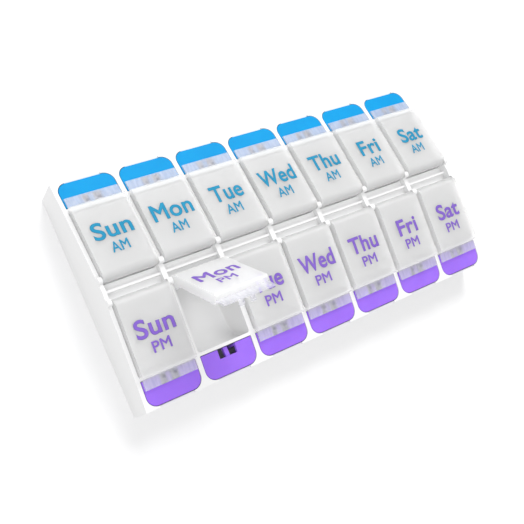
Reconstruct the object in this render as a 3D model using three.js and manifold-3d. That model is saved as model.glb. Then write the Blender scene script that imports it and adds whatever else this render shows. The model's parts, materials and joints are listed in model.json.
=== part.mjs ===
// Weekly pill organizer: a tray with two rows of seven compartments, a hinged
// lid over each compartment and a push button in front of each lid.
// Millimetres. X runs along the days, Y from the evening row (front) to the
// morning row (back), Z up. The origin is in the middle of the underside.

import * as THREE from "three";
import { mergeVertices } from "three/addons/utils/BufferGeometryUtils.js";
import Module from "manifold-3d";

const wasm = await Module();
wasm.setup();

// Overall
const organizerLength = 226;
const organizerWidth = 115;
const crestHeight = 26.2; // top of the end walls, on the middle line
const lidSlope = 0.135; // fall of the wall tops under the lids, per mm outward
const buttonSlope = 0.19; // the steeper fall beside the buttons
const baseInset = 0.8; // the underside is this much narrower at front and back
const edgeBand = 3.1; // upright band along the top of the long sides
const dayNames = ["sun", "mon", "tue", "wed", "thu", "fri", "sat"];

// Tray
const endWall = 2;
const dividerWall = 2.6; // between two neighbouring days
const floorThickness = 1.8;
const scoopRadius = 11.5; // the floor curves up to the outer wall
const outerWall = 1.6; // between a compartment and its button bay
const bayDepth = 14.2; // from the tray's long edge to the outer wall
const bayLip = 0.9; // thin edge outside a button
const bayFloor = 2;
const lipDrop = 1.1; // the edge sits lower than the button beside it
const bayCornerRadius = 5.3;
const spineWidth = 7.8; // between the two rows
const channelDepth = 5.2; // the channel between the rows, below the crest
const spineSkin = 1.5;
const ridgeWidth = 1.2;
const ridgeRise = 2.2;
const channelRibDrop = 1.8; // dividers are this much lower where they cross the channel

// Lid
const lidGap = 0.3; // each side, to the dividers
const lidRise = 4; // lid top above the wall tops
const lidWall = 1.4;
const lidNoseRadius = 4; // rounded hinge end
const lidNoseGap = 0.4; // hinge end to the spine
const lidFrontGap = 0.7; // inner front wall to the outer wall, for its swing
const lidSkirt = 1.5; // depth of the side skirts below the wall tops
const noseSkirtDepth = 4.4; // the skirt's lowest edge, below the hinge axis
const noseSkirtLength = 4.1;
const noseSkirtSlope = 2; // length over which the skirt rises to its front part
const panelEdge = 0.8; // small slope along the panel's front edge
const stripLength = 5; // clear strip over the button
const stripThickness = 1;
const stripInset = 0.5; // narrower than the lid, each side
const hingeFromSpine = 1.6; // hinge axis, measured from the compartment's inner wall
const hingeDrop = 0.2; // hinge axis below the crest
const hingeEarRadius = 2.3; // round ears on the dividers and end walls hold the pins
const pinRadius = 0.9;
const pinReach = 0.9; // out of the lid's side
const pinGap = 0.3;
const pinSides = 12;

// Catch: two hooks under the strip, which enter the button's notch
const hookWidth = 2.2;
const hookSpacing = 6.2;
const hookThickness = 1.3;
const hookSetback = 0.8; // from the inner edge of the button
const hookDepth = 4.5;
const hookNib = 0.5;
const hookNibHeight = 1.2;

// Button
const buttonGap = 0.3;
const buttonCornerRadius = bayCornerRadius - buttonGap;
const buttonPlate = 2;
const buttonWall = 1.3;
const buttonBottom = 8;
const notchWidth = 10;
const notchDepth = 4.6;
const notchBarWidth = 2.4;
const notchBarDrop = 0.8;
const notchBarHeight = 2.2;
const notchBarRoot = 0.5; // the bar runs this far into the button
const snapTabReach = 0.7;
const snapTabLength = 4;
const snapTabBottom = 9;
const snapTabHeight = 1.4;
const snapTabFromBay = 5; // from the bay's inner edge
const buttonTravel = 1.5;

// The evening lid of this day stands open
const openDay = "mon";
const openAngle = 65;

// Places that follow from the sizes above. "Out" is the distance from the
// middle line towards the long edge of the tray, the same for both rows.
const halfWidth = organizerWidth / 2;
const dayCount = dayNames.length;
const columnWidth = (organizerLength - 2 * endWall - (dayCount - 1) * dividerWall) / dayCount;
const columnPitch = columnWidth + dividerWall;
const spineTop = crestHeight - channelDepth;
const hingeHeight = crestHeight - hingeDrop;
const lidWidth = columnWidth - 2 * lidGap;
const buttonWidth = columnWidth - 2 * buttonGap;
const wellInner = spineWidth / 2;
const bayInner = halfWidth - bayDepth;
const bayOuter = halfWidth - bayLip;
const wellOuter = bayInner - outerWall;
const hingeOut = wellInner + hingeFromSpine;

// How the solids are made
const arcSteps = 5;
const overcut = 1; // cuts run this far past the faces they open
const aboveAll = 2 * crestHeight;
const belowAll = -overcut;

const columnX = (day) => (day - (dayCount - 1) / 2) * columnPitch;

const innerTop = (out) => crestHeight - lidSlope * out;
const buttonTop = (out) => innerTop(bayInner) - buttonSlope * (out - bayInner);
const wallTop = (out) => (out < bayInner ? innerTop(out) : buttonTop(out));

// Solids

function toSolid(geometry) {
  const bare = geometry.index ? geometry.toNonIndexed() : geometry.clone();
  bare.deleteAttribute("normal");
  bare.deleteAttribute("uv");
  const merged = mergeVertices(bare, 1e-4);
  const vertProperties = new Float32Array(merged.attributes.position.array);
  const triVerts = new Uint32Array(merged.index.array);
  return new wasm.Manifold(new wasm.Mesh({ numProp: 3, vertProperties, triVerts }));
}

function toGeometry(solid) {
  const mesh = solid.getMesh();
  const geometry = new THREE.BufferGeometry();
  const positions = new THREE.BufferAttribute(new Float32Array(mesh.vertProperties), 3);
  geometry.setAttribute("position", positions);
  geometry.setIndex(new THREE.BufferAttribute(new Uint32Array(mesh.triVerts), 1));
  return geometry;
}

// A side outline, drawn as (out, height), extruded along X for the front row.
function alongX(outline, width) {
  const geometry = new THREE.ExtrudeGeometry(outline, {
    depth: width,
    bevelEnabled: false,
    curveSegments: arcSteps,
  });
  geometry.translate(0, 0, -width / 2);
  const outward = new THREE.Vector3(0, -1, 0);
  const upward = new THREE.Vector3(0, 0, 1);
  const sideways = new THREE.Vector3(-1, 0, 0);
  return geometry.applyMatrix4(new THREE.Matrix4().makeBasis(outward, upward, sideways));
}

// A plan outline, drawn as (x, y), extruded upward.
function upward(outline, bottom, top) {
  const geometry = new THREE.ExtrudeGeometry(outline, {
    depth: top - bottom,
    bevelEnabled: false,
    curveSegments: arcSteps,
  });
  return geometry.translate(0, 0, bottom);
}

// A block in the front row, between two values of x, out and height.
function block([x0, x1], [out0, out1], [z0, z1]) {
  const geometry = new THREE.BoxGeometry(x1 - x0, out1 - out0, z1 - z0);
  return geometry.translate((x0 + x1) / 2, -(out0 + out1) / 2, (z0 + z1) / 2);
}

// A round bar along X in the front row, centred on x = 0.
function rod(radius, length, out, height) {
  const geometry = new THREE.CylinderGeometry(radius, radius, length, pinSides);
  geometry.rotateZ(Math.PI / 2);
  return geometry.translate(0, -out, height);
}

function outlineOf(points) {
  return new THREE.Shape(points.map(([out, height]) => new THREE.Vector2(out, height)));
}

// The plan of a button or its bay: square inside, round corners outside.
function bayOutline(width, inner, outer, radius) {
  const half = width / 2;
  const outline = new THREE.Shape();
  outline.moveTo(-half, -inner);
  outline.lineTo(-half, -(outer - radius));
  outline.absarc(-half + radius, -(outer - radius), radius, Math.PI, 1.5 * Math.PI, false);
  outline.absarc(half - radius, -(outer - radius), radius, 1.5 * Math.PI, 2 * Math.PI, false);
  outline.lineTo(half, -inner);
  outline.closePath();
  return outline;
}

// A back-row copy of a front-row shape is turned half round.
function placed(geometry, day, isBackRow) {
  const copy = geometry.clone();
  if (isBackRow) {
    copy.rotateZ(Math.PI);
  }
  return copy.translate(columnX(day), 0, 0);
}

// Tray

function trayBlank() {
  const edgeTop = wallTop(halfWidth);
  const foot = halfWidth - baseInset;
  const kneeTop = wallTop(bayInner);
  const outline = outlineOf([
    [-foot, 0],
    [foot, 0],
    [halfWidth, edgeTop - edgeBand],
    [halfWidth, edgeTop],
    [bayInner, kneeTop],
    [0, crestHeight],
    [-bayInner, kneeTop],
    [-halfWidth, edgeTop],
    [-halfWidth, edgeTop - edgeBand],
  ]);
  return toSolid(alongX(outline, organizerLength));
}

function wellCut() {
  const outline = new THREE.Shape();
  outline.moveTo(wellInner, aboveAll);
  outline.lineTo(wellInner, floorThickness);
  outline.lineTo(wellOuter - scoopRadius, floorThickness);
  const arcCentre = [wellOuter - scoopRadius, floorThickness + scoopRadius];
  outline.absarc(...arcCentre, scoopRadius, -Math.PI / 2, 0, false);
  outline.lineTo(wellOuter, aboveAll);
  outline.closePath();
  return alongX(outline, columnWidth);
}

function bayCut() {
  return upward(
    bayOutline(columnWidth, bayInner, bayOuter, bayCornerRadius),
    bayFloor,
    aboveAll,
  );
}

function lipCut() {
  const straightHalf = columnWidth / 2 - bayCornerRadius;
  const lipSpan = [bayOuter - overcut, halfWidth + overcut];
  const lipTop = wallTop(bayOuter) - lipDrop;
  return block([-straightHalf, straightHalf], lipSpan, [lipTop, aboveAll]);
}

function socketCut() {
  const length = columnWidth + 2 * (pinReach - lidGap + pinGap);
  return rod(pinRadius + pinGap, length, hingeOut, hingeHeight);
}

// One ear stands on each wall between two columns, and one on each end wall.
function hingeEars() {
  const ears = [];
  const halfLength = organizerLength / 2;
  for (let wall = 0; wall <= dayCount; wall += 1) {
    const isEnd = wall === 0 || wall === dayCount;
    const thickness = isEnd ? endWall : dividerWall;
    const endX = Math.sign(wall - 1) * (halfLength - endWall / 2);
    const x = isEnd ? endX : columnX(wall) - columnPitch / 2;
    ears.push(rod(hingeEarRadius, thickness, hingeOut, hingeHeight).translate(x, 0, 0));
  }
  return ears;
}

function snapSlotCut() {
  const half = buttonWidth / 2 + snapTabReach + buttonGap;
  const outFrom = bayInner + snapTabFromBay - buttonGap;
  const outTo = outFrom + snapTabLength + 2 * buttonGap;
  const bottom = snapTabBottom - buttonTravel - buttonGap;
  const top = snapTabBottom + snapTabHeight + buttonGap;
  return block([-half, half], [outFrom, outTo], [bottom, top]);
}

function tray() {
  const half = columnWidth / 2;
  const slotHalf = spineWidth / 2 - spineSkin;
  const ridgeHalf = ridgeWidth / 2;
  const channelSides = [
    block([-half, half], [ridgeHalf, wellInner + overcut], [spineTop, aboveAll]),
    block([-half, half], [-wellInner - overcut, -ridgeHalf], [spineTop, aboveAll]),
    block([-half, half], [-wellInner, wellInner], [spineTop + ridgeRise, aboveAll]),
    block([-half, half], [-slotHalf, slotHalf], [belowAll, spineTop - spineSkin]),
  ];
  const rowCuts = [wellCut(), bayCut(), lipCut(), snapSlotCut()];
  let solid = trayBlank();
  for (let day = 0; day < dayCount; day += 1) {
    for (const cut of channelSides) {
      solid = solid.subtract(toSolid(placed(cut, day, false)));
    }
    for (const cut of rowCuts) {
      solid = solid.subtract(toSolid(placed(cut, day, false)));
      solid = solid.subtract(toSolid(placed(cut, day, true)));
    }
  }
  const innerEnd = organizerLength / 2 - endWall;
  const ribTop = crestHeight - channelRibDrop;
  const ribCut = block([-innerEnd, innerEnd], [-wellInner, wellInner], [ribTop, aboveAll]);
  solid = solid.subtract(toSolid(ribCut));
  for (const ear of hingeEars()) {
    solid = solid.add(toSolid(ear));
    solid = solid.add(toSolid(ear.rotateZ(Math.PI)));
  }
  for (let day = 0; day < dayCount; day += 1) {
    solid = solid.subtract(toSolid(placed(socketCut(), day, false)));
    solid = solid.subtract(toSolid(placed(socketCut(), day, true)));
  }
  return solid;
}

// Lid, drawn closed in the front row of a column at x = 0

const lidTop = (out) => wallTop(out) + lidRise;
const noseOut = wellInner + lidNoseGap + lidNoseRadius;
const noseHeight = lidTop(noseOut) - lidNoseRadius;
const panelFront = bayInner - lidGap;
const lidFrontWall = wellOuter - lidFrontGap;
const stripEnd = bayInner + stripLength;
const stripBottom = (out) => wallTop(out) + lidGap;

function lidOutline() {
  const outline = new THREE.Shape();
  const noseBack = noseOut - lidNoseRadius;
  const noseSkirtBottom = hingeHeight - noseSkirtDepth;
  const skirtStart = noseBack + noseSkirtLength + noseSkirtSlope;
  outline.moveTo(noseBack, noseSkirtBottom);
  outline.lineTo(noseBack + noseSkirtLength, noseSkirtBottom);
  outline.lineTo(skirtStart, wallTop(skirtStart) - lidSkirt);
  outline.lineTo(lidFrontWall, wallTop(lidFrontWall) - lidSkirt);
  outline.lineTo(lidFrontWall, stripBottom(lidFrontWall));
  outline.lineTo(bayInner, stripBottom(bayInner));
  outline.lineTo(stripEnd, stripBottom(stripEnd));
  outline.lineTo(stripEnd, stripBottom(stripEnd) + stripThickness);
  outline.lineTo(panelFront, stripBottom(panelFront) + stripThickness);
  outline.lineTo(panelFront, lidTop(panelFront) - panelEdge);
  outline.lineTo(panelFront - panelEdge, lidTop(panelFront - panelEdge));
  outline.lineTo(noseOut, lidTop(noseOut));
  outline.absarc(noseOut, noseHeight, lidNoseRadius, Math.PI / 2, Math.PI, false);
  outline.closePath();
  return outline;
}

function lidHollow() {
  const outline = new THREE.Shape();
  const innerRadius = lidNoseRadius - lidWall;
  const innerFront = lidFrontWall - lidWall;
  outline.moveTo(noseOut - innerRadius, 0);
  outline.lineTo(innerFront, 0);
  outline.lineTo(innerFront, lidTop(innerFront) - lidWall);
  outline.lineTo(noseOut, noseHeight + innerRadius);
  outline.absarc(noseOut, noseHeight, innerRadius, Math.PI / 2, Math.PI, false);
  outline.closePath();
  return alongX(outline, lidWidth - 2 * lidWall);
}

function hook(side) {
  const inner = bayInner + buttonGap + hookSetback;
  const outer = inner + hookThickness;
  const top = stripBottom(inner) + stripThickness / 2;
  const bottom = stripBottom(inner) - hookDepth;
  const middle = (side * hookSpacing) / 2;
  const sides = [middle - hookWidth / 2, middle + hookWidth / 2];
  const shank = toSolid(block(sides, [inner, outer], [bottom, top]));
  const nib = toSolid(block(sides, [inner, outer + hookNib], [bottom, bottom + hookNibHeight]));
  return shank.add(nib);
}

function closedLid() {
  let solid = toSolid(alongX(lidOutline(), lidWidth));
  solid = solid.subtract(toSolid(lidHollow()));
  for (const side of [-1, 1]) {
    const trimFrom = side * (lidWidth / 2 - stripInset);
    const trimSides = [trimFrom, side * lidWidth].sort((a, b) => a - b);
    const trim = block(trimSides, [panelFront, halfWidth], [belowAll, aboveAll]);
    solid = solid.subtract(toSolid(trim));
    solid = solid.add(hook(side));
    const pin = rod(pinRadius, lidWall + pinReach, hingeOut, hingeHeight);
    pin.translate(side * (lidWidth / 2 - lidWall / 2 + pinReach / 2), 0, 0);
    solid = solid.add(toSolid(pin));
  }
  return solid;
}

// Button, drawn in the front row of a column at x = 0

function button() {
  const inner = bayInner + buttonGap;
  const outer = bayOuter - buttonGap;
  const plan = bayOutline(buttonWidth, inner, outer, buttonCornerRadius);
  const planInside = bayOutline(
    buttonWidth - 2 * buttonWall,
    inner + buttonWall,
    outer - buttonWall,
    buttonCornerRadius - buttonWall,
  );
  const cutInner = inner - overcut;
  const cutOuter = outer + overcut;
  const underTop = (drop) => outlineOf([
    [cutInner, belowAll],
    [cutOuter, belowAll],
    [cutOuter, buttonTop(cutOuter) - drop],
    [cutInner, buttonTop(cutInner) - drop],
  ]);
  let solid = toSolid(upward(plan, buttonBottom, aboveAll));
  solid = solid.intersect(toSolid(alongX(underTop(0), columnWidth)));
  let hollow = toSolid(upward(planInside, belowAll, aboveAll));
  hollow = hollow.intersect(toSolid(alongX(underTop(buttonPlate), columnWidth)));
  solid = solid.subtract(hollow);
  const notchHalf = notchWidth / 2;
  const notchEnd = inner + notchDepth;
  const notch = block([-notchHalf, notchHalf], [cutInner, notchEnd], [belowAll, aboveAll]);
  solid = solid.subtract(toSolid(notch));
  const barTop = wallTop(notchEnd) - notchBarDrop;
  const barSides = [-notchBarWidth / 2, notchBarWidth / 2];
  const barHeight = [barTop - notchBarHeight, barTop];
  const bar = block(barSides, [inner, notchEnd + notchBarRoot], barHeight);
  solid = solid.add(toSolid(bar));
  const tabHalf = buttonWidth / 2 + snapTabReach;
  const tabFrom = bayInner + snapTabFromBay;
  const tabHeights = [snapTabBottom, snapTabBottom + snapTabHeight];
  for (const side of [-1, 1]) {
    const tabRoot = side * (buttonWidth / 2 - buttonWall);
    const tabSides = [tabRoot, side * tabHalf].sort((a, b) => a - b);
    const tab = block(tabSides, [tabFrom, tabFrom + snapTabLength], tabHeights);
    solid = solid.add(toSolid(tab));
  }
  return solid;
}

// Materials

function plastic(color, roughness) {
  return new THREE.MeshStandardMaterial({ color, roughness, metalness: 0 });
}

const frostedWhite = plastic("#eef0f1", 0.5);
const milkyLid = plastic("#e3e6e8", 0.35);
const morningBlue = plastic("#1ab2f8", 0.3);
const eveningPurple = plastic("#a070f2", 0.3);

// Assembly

const organizer = new THREE.Group();

const trayMesh = new THREE.Mesh(toGeometry(tray()), frostedWhite);
trayMesh.name = "tray";
organizer.add(trayMesh);

const lidGeometry = toGeometry(closedLid()).translate(0, hingeOut, -hingeHeight);
const buttonGeometry = toGeometry(button());

const rows = [
  { name: "am", isBack: true, buttonMaterial: morningBlue },
  { name: "pm", isBack: false, buttonMaterial: eveningPurple },
];

for (const row of rows) {
  for (let day = 0; day < dayCount; day += 1) {
    const column = new THREE.Group();
    column.position.x = columnX(day);
    column.rotation.z = row.isBack ? Math.PI : 0;
    organizer.add(column);

    const hinge = new THREE.Group();
    hinge.position.set(0, -hingeOut, hingeHeight);
    const standsOpen = !row.isBack && dayNames[day] === openDay;
    hinge.rotation.x = standsOpen ? -THREE.MathUtils.degToRad(openAngle) : 0;
    column.add(hinge);

    const lid = new THREE.Mesh(lidGeometry, milkyLid);
    lid.name = `${row.name}_lid_${dayNames[day]}`;
    hinge.add(lid);

    const pushButton = new THREE.Mesh(buttonGeometry, row.buttonMaterial);
    pushButton.name = `${row.name}_button_${dayNames[day]}`;
    column.add(pushButton);
  }
}

export default organizer;
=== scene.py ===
import json
import math

import bmesh
import bpy
from mathutils import Matrix, Quaternion, Vector


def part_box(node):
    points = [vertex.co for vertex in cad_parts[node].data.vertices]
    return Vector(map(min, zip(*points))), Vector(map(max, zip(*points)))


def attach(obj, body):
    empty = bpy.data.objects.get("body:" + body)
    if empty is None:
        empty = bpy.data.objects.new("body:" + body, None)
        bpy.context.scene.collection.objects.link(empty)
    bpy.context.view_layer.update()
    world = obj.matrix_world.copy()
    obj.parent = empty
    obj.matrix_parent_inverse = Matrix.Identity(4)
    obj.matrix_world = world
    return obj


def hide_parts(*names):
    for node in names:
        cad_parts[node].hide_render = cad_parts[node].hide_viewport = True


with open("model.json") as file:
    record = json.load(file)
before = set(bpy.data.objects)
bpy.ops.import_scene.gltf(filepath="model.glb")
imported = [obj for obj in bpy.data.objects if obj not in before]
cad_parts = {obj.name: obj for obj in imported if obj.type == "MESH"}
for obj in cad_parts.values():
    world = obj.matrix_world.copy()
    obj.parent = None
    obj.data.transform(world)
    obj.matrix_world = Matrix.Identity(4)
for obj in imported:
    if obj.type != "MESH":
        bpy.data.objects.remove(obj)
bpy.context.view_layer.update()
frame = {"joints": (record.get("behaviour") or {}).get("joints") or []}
print("frame loaded")

mm = 0.001

# Places that the whole planner shares. "Out" is the distance from the middle line
# towards a long edge, the same for both rows. Shapes are drawn in the front row of a
# column at x = 0, and turned half round for the back row.
planner = {
    "days": ["sun", "mon", "tue", "wed", "thu", "fri", "sat"],
    "lidSlope": 0.135,
    "buttonSlope": 0.19,
    "dividerWall": 2.6 * mm,
    "spineWidth": 7.8 * mm,
    "hingeDrop": 0.2 * mm,
    "bayDepth": 14.2 * mm,
    "bayLip": 0.9 * mm,
    "bayCornerRadius": 5.3 * mm,
    "outerWall": 1.6 * mm,
    "pieceGap": 0.3 * mm,
    "bayCornerSteps": 12,
    "nearly": 0.001 * mm,  # two places closer than this are the same
}

trayLow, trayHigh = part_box("tray")
halfWidth = trayHigh.y
columnX = {}
for day in planner["days"]:
    low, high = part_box(f"pm_button_{day}")
    columnX[day] = (low.x + high.x) / 2
columnPitch = columnX["mon"] - columnX["sun"]
columnWidth = columnPitch - planner["dividerWall"]
wellInner = planner["spineWidth"] / 2
bayInner = halfWidth - planner["bayDepth"]
bayOuter = halfWidth - planner["bayLip"]
wellOuter = bayInner - planner["outerWall"]
hinges = {}
for joint in frame["joints"]:
    if joint["type"] == "hinge":
        hinges[joint["child"]] = joint
hingeOut = abs(hinges["pm_lid_sun"]["pos_m"][1])
hingeHeight = hinges["pm_lid_sun"]["pos_m"][2]
crest = hingeHeight + planner["hingeDrop"]  # the top of the walls at the middle line


def innerTop(out):
    return crest - planner["lidSlope"] * out


def buttonTop(out):
    return innerTop(bayInner) - planner["buttonSlope"] * (out - bayInner)


def wallTop(out):
    return innerTop(out) if out < bayInner else buttonTop(out)


# Shaping

def arcPoints(centre, radius, start, end, steps):
    points = []
    for step in range(steps + 1):
        angle = math.radians(start + (end - start) * step / steps)
        points.append((centre[0] + radius * math.cos(angle), centre[1] + radius * math.sin(angle)))
    return points


def pulled(bm, corners, way):
    face = bm.faces.new([bm.verts.new(corner) for corner in corners])
    grown = bmesh.ops.extrude_face_region(bm, geom=[face])
    ends = [item for item in grown["geom"] if isinstance(item, bmesh.types.BMVert)]
    bmesh.ops.translate(bm, verts=ends, vec=way)
    bmesh.ops.recalc_face_normals(bm, faces=bm.faces)
    return bm


def sideProfile(points, width):
    # a side outline of (out, height) points, pulled along the row
    corners = [(-width / 2, -out, height) for out, height in points]
    return pulled(bmesh.new(), corners, (width, 0, 0))


def planProfile(points, bottom, top):
    # a plan of (x, out) points, pulled upward
    corners = [(x, -out, bottom) for x, out in points]
    return pulled(bmesh.new(), corners, (0, 0, top - bottom))


def block(xSpan, outSpan, zSpan):
    bm = bmesh.new()
    bmesh.ops.create_cube(bm, size=1)
    size = (xSpan[1] - xSpan[0], outSpan[1] - outSpan[0], zSpan[1] - zSpan[0])
    middle = (sum(xSpan) / 2, -sum(outSpan) / 2, sum(zSpan) / 2)
    bmesh.ops.scale(bm, verts=bm.verts, vec=size)
    bmesh.ops.translate(bm, verts=bm.verts, vec=middle)
    return bm


def rod(radius, xSpan, out, height, sides=24):
    bm = bmesh.new()
    length = xSpan[1] - xSpan[0]
    bmesh.ops.create_cone(
        bm, cap_ends=True, segments=sides, radius1=radius, radius2=radius, depth=length
    )
    turn = Matrix.Rotation(math.pi / 2, 4, "Y")
    place = Matrix.Translation((sum(xSpan) / 2, -out, height))
    bmesh.ops.transform(bm, matrix=place @ turn, verts=bm.verts)
    return bm


def roundEdges(bm, radius, segments, chosen):
    edges = [edge for edge in bm.edges if chosen(edge)]
    bmesh.ops.bevel(
        bm, geom=edges, offset=radius, offset_type="OFFSET", affect="EDGES",
        segments=segments, profile=0.5, material=-1, clamp_overlap=True,
    )
    return bm


def copyInto(bm, shape, matrix):
    # adds a moved copy of one shape to another mesh in the making
    spare = bpy.data.meshes.new("spare")
    shape.to_mesh(spare)
    spare.transform(matrix)
    bm.from_mesh(spare)
    bpy.data.meshes.remove(spare)


def objectFrom(bm, name):
    mesh = bpy.data.meshes.new(name)
    bm.to_mesh(mesh)
    bm.free()
    piece = bpy.data.objects.new(name, mesh)
    bpy.context.scene.collection.objects.link(piece)
    return piece


def applied(piece):
    depsgraph = bpy.context.evaluated_depsgraph_get()
    finished = bpy.data.meshes.new_from_object(piece.evaluated_get(depsgraph))
    piece.modifiers.clear()
    spare = piece.data
    piece.data = finished
    bpy.data.meshes.remove(spare)
    return piece


def combine(piece, bm, operation):
    # joins a shape to a piece or cuts it away
    tool = objectFrom(bm, "tool")
    modifier = piece.modifiers.new("combine", "BOOLEAN")
    modifier.operation = operation
    modifier.solver = "MANIFOLD"
    modifier.object = tool
    applied(piece)
    spare = tool.data
    bpy.data.objects.remove(tool)
    bpy.data.meshes.remove(spare)
    return piece


def softenEdges(piece, radius, segments=2, angle=32):
    bevel = piece.modifiers.new("softEdges", "BEVEL")
    bevel.width = radius
    bevel.segments = segments
    bevel.limit_method = "ANGLE"
    bevel.angle_limit = math.radians(angle)
    bevel.use_clamp_overlap = True
    bevel.harden_normals = True
    bevel.miter_outer = "MITER_ARC"
    piece.data.shade_smooth()
    return applied(piece)


def bothRows(day):
    # the two places of a front-row shape in a column: back row, then front row
    move = Matrix.Translation((columnX[day], 0, 0))
    return [move @ Matrix.Rotation(math.pi, 4, "Z"), move]


def inEveryPlace(shape):
    copies = bmesh.new()
    for day in planner["days"]:
        for matrix in bothRows(day):
            copyInto(copies, shape, matrix)
    shape.free()
    return copies


def bayPlan(inset):
    # a bay's outline from above, drawn this far inside its walls
    half = columnWidth / 2 - inset
    inner = bayInner + inset
    outer = bayOuter - inset
    radius = planner["bayCornerRadius"] - inset
    steps = planner["bayCornerSteps"]
    points = [(half, inner)]
    points += arcPoints((half - radius, outer - radius), radius, 0, 90, steps)
    points += arcPoints((-half + radius, outer - radius), radius, 90, 180, steps)
    points.append((-half, inner))
    return points


# Materials

def newMaterial(name, color, roughness, **settings):
    material = bpy.data.materials.new(name)
    material.use_nodes = True
    shader = material.node_tree.nodes["Principled BSDF"]
    shader.inputs["Base Color"].default_value = (*color, 1)
    shader.inputs["Roughness"].default_value = roughness
    for socket, value in settings.items():
        shader.inputs[socket.replace("_", " ")].default_value = value
    return material


def addNode(material, kind, **settings):
    node = material.node_tree.nodes.new(kind)
    for name, value in settings.items():
        if name in node.inputs:
            node.inputs[name].default_value = value
        else:
            setattr(node, name, value)
    return node


def link(material, source, target):
    material.node_tree.links.new(source, target)


def mottle(material, scale, low, high):
    # a faint cloudy change over the surface, between two colours
    shader = material.node_tree.nodes["Principled BSDF"]
    place = addNode(material, "ShaderNodeTexCoord")
    noise = addNode(material, "ShaderNodeTexNoise", Scale=scale, Detail=4.0)
    ramp = addNode(material, "ShaderNodeValToRGB")
    link(material, place.outputs["Object"], noise.inputs["Vector"])
    link(material, noise.outputs["Fac"], ramp.inputs["Fac"])
    ramp.color_ramp.elements[0].position = 0.3
    ramp.color_ramp.elements[1].position = 0.7
    ramp.color_ramp.elements[0].color = (*low, 1)
    ramp.color_ramp.elements[1].color = (*high, 1)
    link(material, ramp.outputs["Color"], shader.inputs["Base Color"])


def addGrain(material, scale, strength, distance):
    # the fine texture that a mould leaves
    shader = material.node_tree.nodes["Principled BSDF"]
    place = addNode(material, "ShaderNodeTexCoord")
    noise = addNode(material, "ShaderNodeTexNoise", Scale=scale, Detail=3.0)
    bump = addNode(material, "ShaderNodeBump", Strength=strength, Distance=distance)
    link(material, place.outputs["Object"], noise.inputs["Vector"])
    link(material, noise.outputs["Fac"], bump.inputs["Height"])
    link(material, bump.outputs["Normal"], shader.inputs["Normal"])


def makeMilkyWhite():
    material = newMaterial(
        "milkyWhite", color=(0.9, 0.91, 0.91), roughness=0.42,
        Subsurface_Weight=1.0, Subsurface_Scale=0.01, Subsurface_Radius=(1.0, 1.0, 1.0),
        IOR=1.48,
    )
    mottle(material, scale=60, low=(0.905, 0.915, 0.918), high=(0.93, 0.935, 0.935))
    addGrain(material, scale=2600, strength=0.12, distance=0.0001)
    return material


def makeFrostedPanel():
    material = newMaterial(
        "frostedPanel", color=(0.95, 0.96, 0.96), roughness=0.38,
        Subsurface_Weight=1.0, Subsurface_Scale=0.006, Subsurface_Radius=(1.0, 1.0, 1.0),
        IOR=1.45, Alpha=0.47,
    )
    mottle(material, scale=45, low=(0.965, 0.97, 0.975), high=(0.985, 0.99, 0.99))
    addGrain(material, scale=2200, strength=0.15, distance=0.0001)
    return material


def makeClearStrip():
    material = newMaterial(
        "clearStrip", color=(0.85, 0.85, 0.88), roughness=0.2,
        Subsurface_Weight=0.6, Subsurface_Scale=0.001, Subsurface_Radius=(1.0, 1.0, 1.0),
        Specular_IOR_Level=0.25, Alpha=0.34,
    )
    addFlowLines(material)
    return material


def addFlowLines(material):
    # fine streaks across the row, as plastic leaves them where it flowed into the mould
    shader = material.node_tree.nodes["Principled BSDF"]
    place = addNode(material, "ShaderNodeTexCoord")
    stretch = addNode(material, "ShaderNodeMapping")
    stretch.inputs["Scale"].default_value = (800, 160, 160)
    noise = addNode(material, "ShaderNodeTexNoise", Scale=1.0, Detail=1.0)
    ramp = addNode(material, "ShaderNodeValToRGB")
    bump = addNode(material, "ShaderNodeBump", Strength=0.05, Distance=0.0002)
    link(material, place.outputs["Object"], stretch.inputs["Vector"])
    link(material, stretch.outputs["Vector"], noise.inputs["Vector"])
    link(material, noise.outputs["Fac"], ramp.inputs["Fac"])
    link(material, noise.outputs["Fac"], bump.inputs["Height"])
    link(material, ramp.outputs["Color"], shader.inputs["Base Color"])
    link(material, bump.outputs["Normal"], shader.inputs["Normal"])
    ramp.color_ramp.elements[0].position = 0.36
    ramp.color_ramp.elements[1].position = 0.62
    ramp.color_ramp.elements[0].color = (0.7, 0.7, 0.76, 1)
    ramp.color_ramp.elements[1].color = (0.8, 0.8, 0.85, 1)


def makeButtonPlastic(name, color, paler):
    material = newMaterial(
        name, color, roughness=0.42, Subsurface_Weight=0.15, Subsurface_Scale=0.001,
        Specular_IOR_Level=0.06,
    )
    mottle(material, scale=80, low=color, high=paler)
    addGrain(material, scale=2400, strength=0.1, distance=0.0001)
    return material


def makeInk(name, color, paler):
    material = newMaterial(name, color, roughness=0.6, Specular_IOR_Level=0.2)
    mottle(material, scale=400, low=color, high=paler)
    return material


milkyWhite = makeMilkyWhite()
frostedPanel = makeFrostedPanel()
clearStrip = makeClearStrip()
buttonPlastic = {
    "am": makeButtonPlastic("morningBlue", (0.002, 0.275, 0.61), (0.003, 0.3, 0.65)),
    "pm": makeButtonPlastic("eveningPurple", (0.3, 0.145, 0.75), (0.325, 0.16, 0.79)),
}
ink = {
    "am": makeInk("blueInk", (0.012, 0.23, 0.4), (0.016, 0.27, 0.46)),
    "pm": makeInk("purpleInk", (0.19, 0.1, 0.48), (0.22, 0.12, 0.54)),
}
print("materials made")

# Tray

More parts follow.
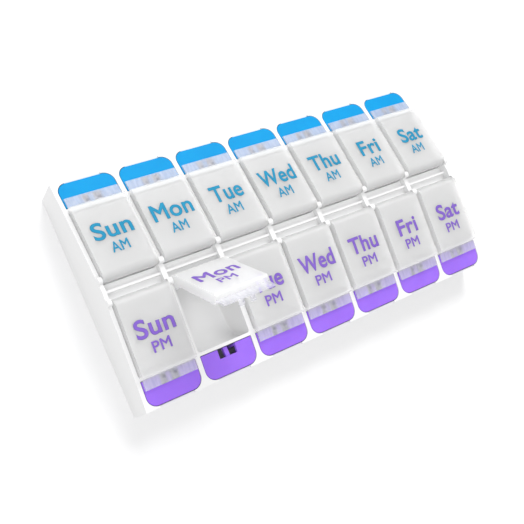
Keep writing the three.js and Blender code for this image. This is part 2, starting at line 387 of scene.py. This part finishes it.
tray = {
    "floor": 1.8 * mm,
    "scoopRadius": 11.5 * mm,
    "scoopSteps": 14,
    "wellFillet": 1.1 * mm,
    "filletSegments": 3,
    "baseInset": 0.8 * mm,
    "edgeBand": 3.1 * mm,
    "bayFloor": 2 * mm,
    "lipDrop": 1.1 * mm,
    "channelDepth": 5.2 * mm,
    "spineSkin": 1.5 * mm,
    "ridgeWidth": 1.2 * mm,
    "ridgeRise": 2.2 * mm,
    "ribDrop": 1.8 * mm,
    "socketRadius": 1.2 * mm,
    "socketDepth": 0.9 * mm,
    "earRadius": 1.7 * mm,
    "earSides": 40,
    "slotDepth": 0.7 * mm,
    "slotOut": (4.7 * mm, 9.3 * mm),  # from the bay's inner edge
    "slotHeight": (7.2 * mm, 10.7 * mm),
    "edgeRadius": 0.22 * mm,
    "above": 60 * mm,  # well over the whole planner
    "past": 1 * mm,  # how far a cutting shape overshoots
}


def trayBlank():
    foot = halfWidth - tray["baseInset"]
    edgeTop = wallTop(halfWidth)
    half = [
        (0, crest),
        (bayInner, wallTop(bayInner)),
        (halfWidth, edgeTop),
        (halfWidth, edgeTop - tray["edgeBand"]),
        (foot, 0),
    ]
    other = [(-out, height) for out, height in reversed(half[1:])]
    return sideProfile(half + other, trayHigh.x - trayLow.x)


def wellShape():
    radius = tray["scoopRadius"]
    centre = (wellOuter - radius, tray["floor"] + radius)
    points = [(wellInner, tray["above"]), (wellInner, tray["floor"])]
    points += arcPoints(centre, radius, -90, 0, tray["scoopSteps"])
    points.append((wellOuter, tray["above"]))
    bm = sideProfile(points, columnWidth)

    def alongWalls(edge):
        first, second = (vert.co for vert in edge.verts)
        nearly = planner["nearly"]
        atWall = abs(abs(first.x) - columnWidth / 2) < nearly
        oneSide = abs(first.x - second.x) < nearly
        atTop = min(first.z, second.z) > tray["above"] - nearly
        return atWall and oneSide and not atTop

    return roundEdges(bm, tray["wellFillet"], tray["filletSegments"], alongWalls)


def bayShape():
    return planProfile(bayPlan(0), tray["bayFloor"], tray["above"])


def lipShape():
    half = columnWidth / 2 - planner["bayCornerRadius"]
    lipTop = wallTop(bayOuter) - tray["lipDrop"]
    outSpan = (bayOuter - tray["past"], halfWidth + tray["past"])
    return block((-half, half), outSpan, (lipTop, tray["above"]))


def socketShape():
    reach = columnWidth / 2 + tray["socketDepth"]
    return rod(tray["socketRadius"], (-reach, reach), hingeOut, hingeHeight)


def hingeEars():
    # one ear on each wall between two columns, and one on each end wall
    ears = bmesh.new()
    starts = [trayLow.x] + [x + columnWidth / 2 for x in columnX.values()]
    ends = [x - columnWidth / 2 for x in columnX.values()] + [trayHigh.x]
    for span in zip(starts, ends):
        for side in (-1, 1):
            ear = rod(tray["earRadius"], span, side * hingeOut, hingeHeight, tray["earSides"])
            copyInto(ears, ear, Matrix.Identity(4))
            ear.free()
    return ears


def snapSlotShape():
    half = columnWidth / 2 + tray["slotDepth"]
    outSpan = [bayInner + out for out in tray["slotOut"]]
    return block((-half, half), outSpan, tray["slotHeight"])


def channelShapes():
    half = columnWidth / 2
    top = tray["above"]
    base = crest - tray["channelDepth"]
    ridge = tray["ridgeWidth"] / 2
    slot = wellInner - tray["spineSkin"]
    wide = wellInner + tray["past"]
    return [
        block((-half, half), (ridge, wide), (base, top)),
        block((-half, half), (-wide, -ridge), (base, top)),
        block((-half, half), (-wellInner, wellInner), (base + tray["ridgeRise"], top)),
        block((-half, half), (-slot, slot), (-tray["past"], base - tray["spineSkin"])),
    ]


def makeTray():
    piece = objectFrom(trayBlank(), "trayMoulding")
    for shape in (wellShape(), bayShape(), lipShape(), snapSlotShape()):
        combine(piece, inEveryPlace(shape), "DIFFERENCE")
    for shape in channelShapes():
        cutters = bmesh.new()
        for day in planner["days"]:
            copyInto(cutters, shape, Matrix.Translation((columnX[day], 0, 0)))
        shape.free()
        combine(piece, cutters, "DIFFERENCE")
    end = columnX["sat"] + columnWidth / 2
    ribTop = crest - tray["ribDrop"]
    ribCut = block((-end, end), (-wellInner, wellInner), (ribTop, tray["above"]))
    combine(piece, ribCut, "DIFFERENCE")
    combine(piece, hingeEars(), "UNION")
    combine(piece, inEveryPlace(socketShape()), "DIFFERENCE")
    softenEdges(piece, tray["edgeRadius"])
    piece.data.materials.append(milkyWhite)
    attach(piece, "tray")
    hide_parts("tray")
    return piece


makeTray()
print("tray made")

# Lids

lid = {
    "rise": 4 * mm,
    "wall": 1.4 * mm,
    "noseRadius": 4 * mm,
    "noseSteps": 12,
    "hollowSteps": 10,
    "noseGap": 0.4 * mm,
    "frontGap": 0.7 * mm,
    "skirt": 1.5 * mm,
    "noseSkirtDepth": 4.4 * mm,
    "noseSkirtLength": 4.1 * mm,
    "noseSkirtSlope": 2 * mm,
    "panelEdge": 0.8 * mm,
    "stripLength": 5 * mm,
    "stripThickness": 1 * mm,
    "stripInset": 0.5 * mm,
    "stripMargin": 0.01 * mm,
    "pinRadius": 0.9 * mm,
    "pinReach": 0.9 * mm,
    "hookWidth": 2.2 * mm,
    "hookSpacing": 6.2 * mm,
    "hookThickness": 1.3 * mm,
    "hookSetback": 0.8 * mm,
    "hookDepth": 4.5 * mm,
    "hookNib": 0.5 * mm,
    "hookNibHeight": 1.2 * mm,
    "edgeRadius": 0.3 * mm,
}
lidWidth = columnWidth - 2 * planner["pieceGap"]
noseOut = wellInner + lid["noseGap"] + lid["noseRadius"]
panelFront = bayInner - planner["pieceGap"]
lidFrontWall = wellOuter - lid["frontGap"]
stripEnd = bayInner + lid["stripLength"]


def lidTop(out):
    return wallTop(out) + lid["rise"]


def stripBottom(out):
    return wallTop(out) + planner["pieceGap"]


noseHeight = lidTop(noseOut) - lid["noseRadius"]


def lidOutline():
    back = noseOut - lid["noseRadius"]
    skirtBottom = hingeHeight - lid["noseSkirtDepth"]
    skirtStart = back + lid["noseSkirtLength"] + lid["noseSkirtSlope"]
    thick = lid["stripThickness"]
    edge = panelFront - lid["panelEdge"]
    points = [
        (back, skirtBottom),
        (back + lid["noseSkirtLength"], skirtBottom),
        (skirtStart, wallTop(skirtStart) - lid["skirt"]),
        (lidFrontWall, wallTop(lidFrontWall) - lid["skirt"]),
        (lidFrontWall, stripBottom(lidFrontWall)),
        (bayInner, stripBottom(bayInner)),
        (stripEnd, stripBottom(stripEnd)),
        (stripEnd, stripBottom(stripEnd) + thick),
        (panelFront, stripBottom(panelFront) + thick),
        (panelFront, lidTop(panelFront) - lid["panelEdge"]),
        (edge, lidTop(edge)),
    ]
    nose = arcPoints((noseOut, noseHeight), lid["noseRadius"], 90, 180, lid["noseSteps"])
    return points + nose


def lidHollow():
    radius = lid["noseRadius"] - lid["wall"]
    front = lidFrontWall - lid["wall"]
    points = [(noseOut - radius, 0), (front, 0), (front, lidTop(front) - lid["wall"])]
    points += arcPoints((noseOut, noseHeight), radius, 90, 180, lid["hollowSteps"])
    return sideProfile(points, lidWidth - 2 * lid["wall"])


def hookShape(side):
    inner = bayInner + planner["pieceGap"] + lid["hookSetback"]
    outer = inner + lid["hookThickness"]
    top = stripBottom(inner) + lid["stripThickness"] / 2
    bottom = stripBottom(inner) - lid["hookDepth"]
    middle = side * lid["hookSpacing"] / 2
    nibTop = bottom + lid["hookNibHeight"]
    points = [
        (inner, top),
        (inner, bottom),
        (outer, bottom),
        (outer + lid["hookNib"], nibTop - lid["hookNib"]),
        (outer + lid["hookNib"], nibTop),
        (outer, nibTop),
        (outer, top),
    ]
    bm = sideProfile(points, lid["hookWidth"])
    bmesh.ops.translate(bm, verts=bm.verts, vec=(middle, 0, 0))
    return bm


def twoFinishes(piece):
    # the strip over the button is clear, and the rest of the lid is frosted
    piece.data.materials.append(frostedPanel)
    piece.data.materials.append(clearStrip)
    stripTop = stripBottom(panelFront) + lid["stripThickness"]
    for face in piece.data.polygons:
        inFront = -face.center.y > panelFront - lid["stripMargin"]
        face.material_index = 1 if inFront and face.center.z < stripTop else 0


def closedLid():
    piece = objectFrom(sideProfile(lidOutline(), lidWidth), "lidMaster")
    combine(piece, lidHollow(), "DIFFERENCE")
    for side in (-1, 1):
        trimSpan = sorted((side * (lidWidth / 2 - lid["stripInset"]), side * lidWidth))
        trim = block(trimSpan, (panelFront, halfWidth), (0, tray["above"]))
        combine(piece, trim, "DIFFERENCE")
        pinRoot = lidWidth / 2 - lid["wall"]
        pinSpan = sorted((side * pinRoot, side * (lidWidth / 2 + lid["pinReach"])))
        combine(piece, rod(lid["pinRadius"], pinSpan, hingeOut, hingeHeight), "UNION")
        combine(piece, hookShape(side), "UNION")
    softenEdges(piece, lid["edgeRadius"])
    twoFinishes(piece)
    return piece


def lidPlace(row, day):
    back, front = bothRows(day)
    if row == "am":
        return back
    # a lid that stands open starts its joint below zero
    restAngle = hinges[f"pm_lid_{day}"]["range_deg"][0]
    hinge = Vector((0, -hingeOut, hingeHeight))
    turn = Matrix.Rotation(math.radians(restAngle), 4, "X")
    return front @ Matrix.Translation(hinge) @ turn @ Matrix.Translation(-hinge)


def placeCopies(master, kind, materialsFor):
    for row in ("am", "pm"):
        for day in planner["days"]:
            piece = bpy.data.objects.new(f"{row}_{day}_{kind}", master.data.copy())
            bpy.context.scene.collection.objects.link(piece)
            place = lidPlace(row, day) if kind == "lid" else bothRows(day)[row == "pm"]
            piece.data.transform(place)
            for index, material in enumerate(materialsFor[row]):
                piece.data.materials[index] = material
            node = f"{row}_{kind}_{day}"
            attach(piece, node)
            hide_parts(node)
    spare = master.data
    bpy.data.objects.remove(master)
    bpy.data.meshes.remove(spare)


lidMaterials = {"am": (frostedPanel, clearStrip), "pm": (frostedPanel, clearStrip)}
placeCopies(closedLid(), "lid", lidMaterials)
print("lids made")

# Buttons

button = {
    "plate": 2 * mm,
    "wall": 1.3 * mm,
    "bottom": 8 * mm,
    "notchWidth": 10 * mm,
    "notchDepth": 4.6 * mm,
    "barWidth": 2.4 * mm,
    "barDrop": 0.8 * mm,
    "barHeight": 2.2 * mm,
    "barRoot": 0.5 * mm,
    "tabReach": 0.7 * mm,
    "tabOut": (5 * mm, 9 * mm),  # from the bay's inner edge
    "tabHeight": (9 * mm, 10.4 * mm),
    "edgeRadius": 0.35 * mm,
}


def aboveButton(drop):
    # the space above the sloped top, or above a surface that lies lower by the drop
    low = bayInner + planner["pieceGap"] - tray["past"]
    high = bayOuter - planner["pieceGap"] + tray["past"]
    top = 2 * tray["above"]
    slope = [(low, buttonTop(low) - drop), (high, buttonTop(high) - drop)]
    return sideProfile(slope + [(high, top), (low, top)], columnWidth)


def buttonHollow():
    plan = bayPlan(planner["pieceGap"] + button["wall"])
    inside = objectFrom(planProfile(plan, 0, tray["above"]), "inside")
    combine(inside, aboveButton(button["plate"]), "DIFFERENCE")
    hollow = bmesh.new()
    hollow.from_mesh(inside.data)
    spare = inside.data
    bpy.data.objects.remove(inside)
    bpy.data.meshes.remove(spare)
    return hollow


def addBar(piece, notchEnd):
    # the small bar that stands in the middle of the notch
    barTop = wallTop(notchEnd) - button["barDrop"]
    half = button["barWidth"] / 2
    outSpan = (bayInner + planner["pieceGap"], notchEnd + button["barRoot"])
    bar = block((-half, half), outSpan, (barTop - button["barHeight"], barTop))
    combine(piece, bar, "UNION")


def addTabs(piece):
    # a snap tab on each side keeps the button in its bay
    half = columnWidth / 2 - planner["pieceGap"]
    outSpan = [bayInner + out for out in button["tabOut"]]
    for side in (-1, 1):
        span = sorted((side * (half - button["wall"]), side * (half + button["tabReach"])))
        combine(piece, block(span, outSpan, button["tabHeight"]), "UNION")


def makeButton():
    inner = bayInner + planner["pieceGap"]
    blank = planProfile(bayPlan(planner["pieceGap"]), button["bottom"], tray["above"])
    piece = objectFrom(blank, "buttonMaster")
    combine(piece, aboveButton(0), "DIFFERENCE")
    combine(piece, buttonHollow(), "DIFFERENCE")
    notchEnd = inner + button["notchDepth"]
    half = button["notchWidth"] / 2
    notch = block((-half, half), (inner - tray["past"], notchEnd), (0, tray["above"]))
    combine(piece, notch, "DIFFERENCE")
    addBar(piece, notchEnd)
    addTabs(piece)
    softenEdges(piece, button["edgeRadius"])
    piece.data.materials.append(buttonPlastic["am"])
    return piece


buttonMaterials = {"am": (buttonPlastic["am"],), "pm": (buttonPlastic["pm"],)}
placeCopies(makeButton(), "button", buttonMaterials)
print("buttons made")

# Printed day names

lettering = {
    "dayHeight": 8.7 * mm,
    "halfDayHeight": 5.2 * mm,
    "dayBaseline": {"am": 23.1 * mm, "pm": 26.2 * mm},
    "halfDayBaseline": {"am": 15.4 * mm, "pm": 34 * mm},
    "width": {
        "sun": 20.2 * mm, "mon": 22.2 * mm, "tue": 18.2 * mm, "wed": 22.2 * mm,
        "thu": 19.2 * mm, "fri": 14 * mm, "sat": 16.6 * mm, "am": 9.2 * mm, "pm": 9.6 * mm,
    },
    "dayWeight": 0.28 * mm,  # how far the strokes are widened
    "halfDayWeight": 0.12 * mm,
    "thickness": 0.05 * mm,
    "lift": 0.02 * mm,  # the gap between a word and the lid
    "spacing": 1.04,
    "curveSteps": 6,
}


def wordMesh(word, scale, weight):
    # the word lies flat, with its baseline on y = 0 and its middle on x = 0
    curve = bpy.data.curves.new("word", "FONT")
    curve.body = word
    curve.align_x = "CENTER"
    curve.space_character = lettering["spacing"]
    curve.resolution_u = lettering["curveSteps"]
    curve.bevel_depth = weight / scale[1]
    curve.bevel_resolution = 0
    carrier = bpy.data.objects.new("word", curve)
    bpy.context.scene.collection.objects.link(carrier)
    bpy.context.view_layer.update()
    depsgraph = bpy.context.evaluated_depsgraph_get()
    mesh = bpy.data.meshes.new_from_object(carrier.evaluated_get(depsgraph))
    bpy.data.objects.remove(carrier)
    corners = [vert.co for vert in mesh.vertices]
    depth = max(corner.z for corner in corners) - min(corner.z for corner in corners)
    flatten = lettering["thickness"] / max(depth, lettering["thickness"])
    mesh.transform(Matrix.Diagonal((scale[0], scale[1], flatten, 1)))
    return mesh


def letterScale(word, height, weight):
    # the scale that gives a word its width and its capitals their height
    mesh = wordMesh(word, (1, 1), 0)
    corners = [vert.co for vert in mesh.vertices]
    bpy.data.meshes.remove(mesh)
    plainWidth = max(corner.x for corner in corners) - min(corner.x for corner in corners)
    plainHeight = max(corner.y for corner in corners)
    width = lettering["width"][word.lower()]
    return (width - 2 * weight) / plainWidth, (height - weight) / plainHeight


def printWords(row, day):
    uphill = math.atan(planner["lidSlope"])
    place = lidPlace("pm", day) if row == "pm" else Matrix.Translation((columnX[day], 0, 0))
    bm = bmesh.new()
    for word, kind in ((day.capitalize(), "day"), (row.upper(), "halfDay")):
        weight = lettering[f"{kind}Weight"]
        out = lettering[f"{kind}Baseline"][row]
        mesh = wordMesh(word, letterScale(word, lettering[f"{kind}Height"], weight), weight)
        y = out if row == "am" else -out
        tilt = Matrix.Rotation(-uphill if row == "am" else uphill, 4, "X")
        lift = lettering["lift"] + lettering["thickness"] / 2
        mesh.transform(place @ Matrix.Translation((0, y, lidTop(out) + lift)) @ tilt)
        bm.from_mesh(mesh)
        bpy.data.meshes.remove(mesh)
    bmesh.ops.remove_doubles(bm, verts=bm.verts, dist=planner["nearly"])
    piece = objectFrom(bm, f"{row}_{day}_print")
    piece.data.materials.append(ink[row])
    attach(piece, f"{row}_lid_{day}")


for row in ("am", "pm"):
    for day in planner["days"]:
        printWords(row, day)
print("names printed")

# Floor, light and camera

studio = {
    "floorSize": 4,
    "floorColor": (0.85, 0.85, 0.855),
    "worldStrength": 0.72,
}
lamps = {
    "topLight": {"place": (0.8, 1.45, 1.5), "size": 1.2, "power": 31},
    "frontLight": {"place": (-0.9, -0.6, 1.6), "size": 1.2, "power": 13},
}


def makeFloor():
    bm = bmesh.new()
    bmesh.ops.create_grid(bm, x_segments=1, y_segments=1, size=studio["floorSize"] / 2)
    floor = objectFrom(bm, "floor")
    floor.data.materials.append(newMaterial("paleFloor", studio["floorColor"], roughness=0.9))


def makeLamp(name, setting):
    light = bpy.data.lights.new(name, "AREA")
    light.size = setting["size"]
    light.energy = setting["power"]
    lamp = bpy.data.objects.new(name, light)
    lamp.location = setting["place"]
    lamp.rotation_euler = (-Vector(setting["place"])).to_track_quat("-Z", "Y").to_euler()
    bpy.context.scene.collection.objects.link(lamp)


def makeWorld():
    world = bpy.data.worlds.new("studio")
    world.use_nodes = True
    background = world.node_tree.nodes["Background"]
    background.inputs["Color"].default_value = (1, 1, 1, 1)
    background.inputs["Strength"].default_value = studio["worldStrength"]
    bpy.context.scene.world = world


cameraView = {
    "place": (-0.2476, -0.0584, 0.3874),
    "aim": (-0.01415, -0.0091, 0),
    "roll": 55.48,
    "lens": 58.51,
    "sensor": 36,
}


def makeCamera():
    data = bpy.data.cameras.new("camera")
    data.lens = cameraView["lens"]
    data.sensor_width = cameraView["sensor"]
    camera = bpy.data.objects.new("camera", data)
    camera.location = cameraView["place"]
    look = Vector(cameraView["aim"]) - Vector(cameraView["place"])
    roll = Quaternion((0, 0, 1), math.radians(cameraView["roll"]))
    camera.rotation_mode = "QUATERNION"
    camera.rotation_quaternion = look.to_track_quat("-Z", "Y") @ roll
    bpy.context.scene.collection.objects.link(camera)
    bpy.context.scene.camera = camera


makeFloor()
for name, setting in lamps.items():
    makeLamp(name, setting)
makeWorld()
makeCamera()
bpy.context.scene.view_settings.view_transform = "Standard"
print("studio set")
